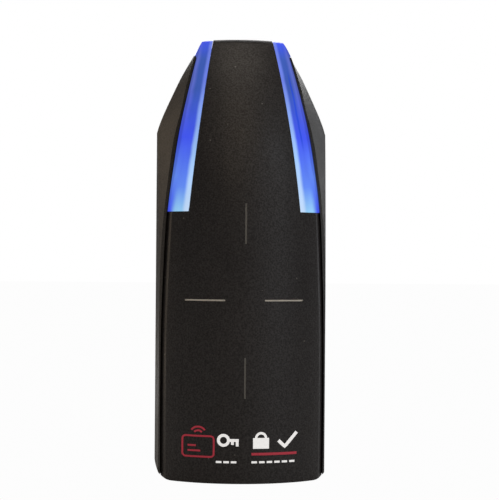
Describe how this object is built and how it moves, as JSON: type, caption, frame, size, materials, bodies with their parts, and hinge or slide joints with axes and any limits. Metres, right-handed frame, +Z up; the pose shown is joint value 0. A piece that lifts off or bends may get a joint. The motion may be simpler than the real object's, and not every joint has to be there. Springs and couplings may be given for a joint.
{
  "type": "rfid card reader",
  "caption": "Slim upright wall card reader with crowned black front, twin blue light bars, engraved read mark and a hinged wall plate with a locking screw.",
  "frame": {"origin": "on the wall plane, midway between the two gang box screw slots of the wall plate, which is the middle of its height and width", "axes": "+Z up, +X to the right seen from the front, front of the reader towards -Y, so +Y points into the wall"},
  "size_m": [0.048, 0.022, 0.1228],
  "materials": {
    "mount_plastic": "satin moulded",
    "pin_steel": "ground stainless steel",
    "black_rubber": "soft black rubber",
    "insert_brass": "machined",
    "spring_steel": "spring steel",
    "screw_steel": "zinc plated",
    "housing_plastic": "fine grained black",
    "cover_plastic": "fine grained black",
    "light_bar_diffuser": "translucent blue, lit",
    "reflector_white": "white",
    "seal_rubber": "closed-cell gasket",
    "membrane_fabric": "breathable membrane",
    "circuit_board": "green solder mask on glass laminate",
    "carrier_plastic": "natural nylon",
    "coil_copper": "copper track",
    "ferrite_grey": "ferrite filled sheet",
    "led_package": "white package, clear lens",
    "chip_epoxy": "moulded epoxy",
    "solder_tin": "tinned",
    "crystal_can": "metal can",
    "inductor_ferrite": "ferrite body",
    "capacitor_can": "aluminium can",
    "capacitor_ceramic": "ceramic",
    "resistor_black": "film on ceramic",
    "buzzer_plastic": "black",
    "switch_plastic": "black and grey",
    "plunger_plastic": "natural acetal",
    "terminal_green": "green nylon",
    "terminal_metal": "tin plated"
  },
  "bodies": {
    "wall_mount": {"wall_plate": "mount_plastic", "hinge_pin": "pin_steel", "cable_grommet": "black_rubber", "lock_insert": "insert_brass"},
    "reader": {"rear_housing": "housing_plastic", "front_cover": "cover_plastic", "right_light_bar": "light_bar_diffuser", "left_light_bar": "light_bar_diffuser", "right_reflector": "reflector_white", "left_reflector": "reflector_white", "housing_seal": "seal_rubber", "cover_screws": "screw_steel", "board_screws": "screw_steel", "vent_membrane": "membrane_fabric", "main_board": "circuit_board", "antenna_carrier": "carrier_plastic", "antenna_coil": "coil_copper", "ferrite_sheet": "ferrite_grey", "right_leds": "led_package", "left_leds": "led_package", "controller_chip": "chip_epoxy", "radio_chip": "chip_epoxy", "line_driver": "chip_epoxy", "chip_leads": "solder_tin", "crystal": "crystal_can", "voltage_regulator": "chip_epoxy", "power_inductor": "inductor_ferrite", "filter_capacitors": "capacitor_can", "smd_capacitors": "capacitor_ceramic", "smd_resistors": "resistor_black", "buzzer": "buzzer_plastic", "tamper_switch": "switch_plastic", "terminal_block": "terminal_green", "terminal_screws": "terminal_metal", "terminal_clamps": "terminal_metal"},
    "lock_clip_carriage": {"lock_clip": "spring_steel"},
    "lock_screw_spindle": {"lock_screw": "screw_steel"},
    "tamper_stem": {"tamper_plunger": "plunger_plastic"}
  },
  "joints": [
    {"name": "reader_swing", "type": "hinge", "parent": "wall_mount", "child": "reader", "pos_m": [0, -0.0026, 0.055], "axis": [-1, 0, 0], "range_deg": [0, 25]},
    {"name": "lock_travel", "type": "slide", "parent": "wall_mount", "child": "lock_clip_carriage", "axis": [0, 0, -1], "range_m": [0, 0.0018]},
    {"name": "lock_turn", "type": "hinge", "parent": "lock_clip_carriage", "child": "lock_screw_spindle", "pos_m": [0, -0.004, -0.055], "axis": [0, 0, -1], "range_deg": [0, 1296.1]},
    {"name": "tamper_slide", "type": "slide", "parent": "reader", "child": "tamper_stem", "axis": [0, 1, 0], "range_m": [0, 0.00135]}
  ],
  "couplings": [
    {"joint": "lock_turn", "follows": "lock_travel", "rad_per_m": 12566},
    {"joint": "tamper_slide", "follows": "reader_swing", "m_per_rad": 0.0030711}
  ]
}
